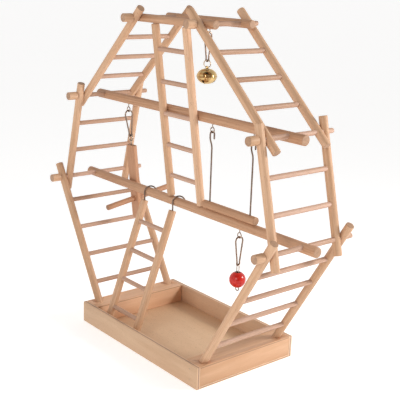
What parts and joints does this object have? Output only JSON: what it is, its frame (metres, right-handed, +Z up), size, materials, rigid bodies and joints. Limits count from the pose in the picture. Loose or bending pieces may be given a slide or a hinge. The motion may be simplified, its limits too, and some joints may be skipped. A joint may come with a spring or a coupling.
{
  "type": "wooden bird climbing playground",
  "caption": "Free-standing wooden bird play stand: ladders pinned into an arch on a tray, with perches, loose ladder, swing, bell, bead and climbing block.",
  "frame": {"origin": "centre of the tray's underside, on the surface that the stand rests on", "axes": "+Z up, X along the tray and the long perches, -Y towards the front, where the loose ladder stands"},
  "size_m": [0.45, 0.155, 0.4288],
  "materials": {
    "plywood": "sanded raw birch plywood, fine even grain",
    "floor_plywood": "pale raw plywood",
    "pine": "planed raw pine with soft growth streaks",
    "rail_dowel": "turned raw beech dowel",
    "rung_dowel": "thin raw beech dowel",
    "perch_dowel": "thick raw beech dowel, slightly darker",
    "toy_wood": "planed raw wood",
    "steel_wire": "bent bright steel wire, slightly darkened",
    "split_ring": "nickel-plated ring",
    "nails": "small steel brads",
    "brass": "polished brass",
    "red_bead": "glossy red"
  },
  "bodies": {
    "frame": {"floor_panel": "floor_plywood", "front_board": "plywood", "back_board": "plywood", "left_end_block": "pine", "right_end_block": "pine", "brads": "nails", "lower_left_front_rail": "rail_dowel", "lower_left_back_rail": "rail_dowel", "lower_left_rungs": "rung_dowel", "lower_right_front_rail": "rail_dowel", "lower_right_back_rail": "rail_dowel", "lower_right_rungs": "rung_dowel", "middle_left_front_rail": "rail_dowel", "middle_left_back_rail": "rail_dowel", "middle_left_rungs": "rung_dowel", "middle_right_front_rail": "rail_dowel", "middle_right_back_rail": "rail_dowel", "middle_right_rungs": "rung_dowel", "upper_left_front_rail": "rail_dowel", "upper_left_back_rail": "rail_dowel", "upper_left_rungs": "rung_dowel", "upper_right_front_rail": "rail_dowel", "upper_right_back_rail": "rail_dowel", "upper_right_rungs": "rung_dowel", "low_joint_rods": "rung_dowel", "middle_joint_rods": "rung_dowel", "top_joint_rods": "rung_dowel", "rod_end_caps": "rail_dowel", "low_perch": "perch_dowel", "high_perch": "perch_dowel", "top_front_perch": "perch_dowel", "top_back_perch": "perch_dowel", "hanging_ladder_left_rail": "rail_dowel", "hanging_ladder_right_rail": "rail_dowel", "hanging_ladder_rungs": "rung_dowel", "screw_eyes": "steel_wire"},
    "swing": {"swing_seat": "perch_dowel", "swing_wires": "steel_wire"},
    "loose_ladder": {"loose_ladder_left_rail": "rail_dowel", "loose_ladder_right_rail": "rail_dowel", "loose_ladder_rungs": "rung_dowel", "loose_ladder_hooks": "steel_wire"},
    "block_clip": {"block_clip": "steel_wire"},
    "climbing_block": {"block_eye": "steel_wire", "climbing_block": "toy_wood", "block_cross_dowel": "toy_wood"},
    "bell_clip": {"bell_clip": "steel_wire"},
    "bell_ring": {"bell_ring": "split_ring"},
    "bell": {"bell_loop": "brass", "bell_upper_shell": "brass", "bell_lower_shell": "brass"},
    "bell_pellet": {"bell_pellet": "steel_wire"},
    "bead_clip": {"bead_clip": "steel_wire"},
    "bead_wire": {"bead_wire": "steel_wire"},
    "bead": {"bead": "red_bead"}
  },
  "joints": [
    {"name": "swing_pivot", "type": "hinge", "parent": "frame", "child": "swing", "pos_m": [0.0845, -0.004, 0.28325], "axis": [1, 0, 0], "range_deg": [-35, 35]},
    {"name": "loose_ladder_slide", "type": "slide", "parent": "frame", "child": "loose_ladder", "axis": [1, 0, 0], "range_m": [0, 0.034]},
    {"name": "block_clip_swing", "type": "hinge", "parent": "frame", "child": "block_clip", "pos_m": [-0.126, -0.004, 0.28325], "axis": [1, 0, 0], "range_deg": [0, 30]},
    {"name": "climbing_block_sway", "type": "hinge", "parent": "block_clip", "child": "climbing_block", "pos_m": [-0.126, -0.00009, 0.24963], "axis": [0, 0.9933, 0.1155], "range_deg": [-20, 20]},
    {"name": "bell_clip_swing", "type": "hinge", "parent": "frame", "child": "bell_clip", "pos_m": [-0.0035, 0.028, 0.39525], "axis": [1, 0, 0], "range_deg": [-30, 30]},
    {"name": "bell_ring_sway", "type": "hinge", "parent": "bell_clip", "child": "bell_ring", "pos_m": [-0.0035, 0.028, 0.3614], "axis": [0, 1, 0], "range_deg": [-25, 25]},
    {"name": "bell_tilt", "type": "hinge", "parent": "bell_ring", "child": "bell", "pos_m": [-0.0035, 0.028, 0.35385], "axis": [0.9063, 0.4226, 0], "range_deg": [-20, 20]},
    {"name": "pellet_rattle", "type": "slide", "parent": "bell", "child": "bell_pellet", "axis": [0, 0, 1], "range_m": [0, 0.01]},
    {"name": "bead_clip_swing", "type": "hinge", "parent": "frame", "child": "bead_clip", "pos_m": [0.1015, -0.0015, 0.16575], "axis": [1, 0, 0], "range_deg": [-40, 40]},
    {"name": "bead_wire_sway", "type": "hinge", "parent": "bead_clip", "child": "bead_wire", "pos_m": [0.1015, -0.0015, 0.1319], "axis": [0, 1, 0], "range_deg": [-25, 25]},
    {"name": "bead_spin", "type": "hinge", "parent": "bead_wire", "child": "bead", "pos_m": [0.1015, -0.0015, 0.114], "axis": [0, 0, 1], "continuous": true}
  ]
}
